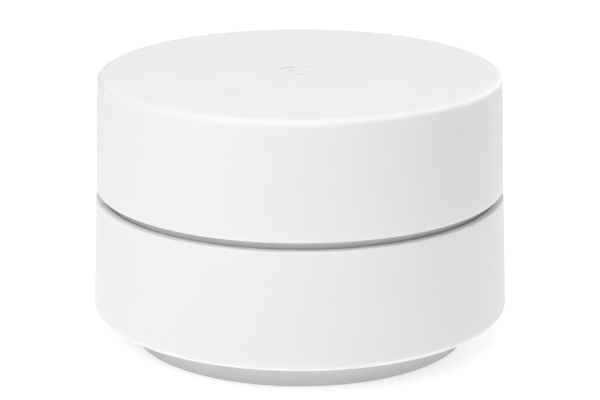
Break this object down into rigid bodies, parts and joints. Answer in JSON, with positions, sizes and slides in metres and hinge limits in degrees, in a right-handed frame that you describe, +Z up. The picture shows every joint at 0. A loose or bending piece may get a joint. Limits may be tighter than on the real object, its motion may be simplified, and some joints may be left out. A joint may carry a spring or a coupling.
{
  "type": "wireless router",
  "caption": "Round two-shell home wireless router on a raised rubber foot, with a grey light ring between the shells and a rear bay of network, power and reset ports.",
  "frame": {"origin": "centre of the foot's underside, on the router's vertical axis", "axes": "+Z up out of the flat top; the port bay opens towards +Y, so -Y is the plain front and +X is the right-hand side seen from the front"},
  "size_m": [0.1062, 0.1057, 0.0688],
  "materials": {
    "white_plastic": "satin moulded plastic",
    "ring_grey_plastic": "translucent grey moulded plastic",
    "grey_rubber": "soft grey rubber",
    "pale_grey_plastic": "fine textured moulded plastic",
    "label_film": "blank printed film",
    "button_grey_plastic": "satin moulded plastic",
    "black_plastic": "glass-filled moulded plastic",
    "spring_steel": "bright rolled",
    "plated_steel": "nickel plated",
    "gold_plate": "gold plated",
    "nickel_pin": "nickel plated",
    "green_board": "solder mask",
    "chip_epoxy": "moulded epoxy",
    "pad_silicone": "soft silicone",
    "ferrite": "pressed ferrite",
    "capacitor_can": "drawn can",
    "ceramic_tan": "fired ceramic",
    "cream_plastic": "moulded plastic",
    "cast_aluminium": "die cast",
    "brass_pillar": "turned",
    "screw_steel": "zinc plated",
    "frame_grey_plastic": "moulded plastic",
    "white_board": "white solder mask",
    "lamp_resin": "clear resin",
    "amber_film": "polyimide film",
    "aerial_brass": "stamped sheet",
    "lead_black": "sleeved wire"
  },
  "bodies": {
    "router": {"upper_shell": "white_plastic", "lower_shell": "white_plastic", "light_ring": "ring_grey_plastic", "foot_ring": "grey_rubber", "base_plate": "pale_grey_plastic", "port_bay": "pale_grey_plastic", "blank_label": "label_film", "switch_body": "black_plastic", "switch_dome": "spring_steel", "wan_socket": "black_plastic", "wan_socket_shield": "plated_steel", "wan_contacts": "gold_plate", "lan_socket": "black_plastic", "lan_socket_shield": "plated_steel", "lan_contacts": "gold_plate", "power_socket": "black_plastic", "power_pin": "nickel_pin", "power_leaf": "gold_plate", "main_board": "green_board", "processor": "chip_epoxy", "memory_chips": "chip_epoxy", "radio_chips": "chip_epoxy", "power_chips": "chip_epoxy", "processor_shield": "plated_steel", "left_radio_shield": "plated_steel", "right_radio_shield": "plated_steel", "thermal_pads": "pad_silicone", "network_transformers": "chip_epoxy", "power_coils": "ferrite", "capacitors": "capacitor_can", "small_parts": "ceramic_tan", "ribbon_sockets": "cream_plastic", "aerial_plugs": "gold_plate", "heatsink": "cast_aluminium", "heatsink_pillars": "brass_pillar", "heatsink_screws": "screw_steel", "inner_frame": "frame_grey_plastic", "light_board": "white_board", "lamps": "lamp_resin", "light_ribbon": "amber_film", "aerial_carrier": "black_plastic", "right_aerial": "aerial_brass", "left_aerial": "aerial_brass", "front_left_aerial": "aerial_brass", "front_right_aerial": "aerial_brass", "right_aerial_lead": "lead_black", "left_aerial_lead": "lead_black", "front_left_aerial_lead": "lead_black", "front_right_aerial_lead": "lead_black", "base_screws": "screw_steel", "frame_screws": "screw_steel", "bay_screws": "screw_steel", "shell_screws": "screw_steel"},
    "reset_button": {"reset_button": "button_grey_plastic", "switch_plunger": "black_plastic"}
  },
  "joints": [
    {"name": "reset_button_press", "type": "slide", "parent": "router", "child": "reset_button", "axis": [0, -1, 0], "range_m": [0, 0.0006], "stiffness_N_per_m": 2500}
  ]
}
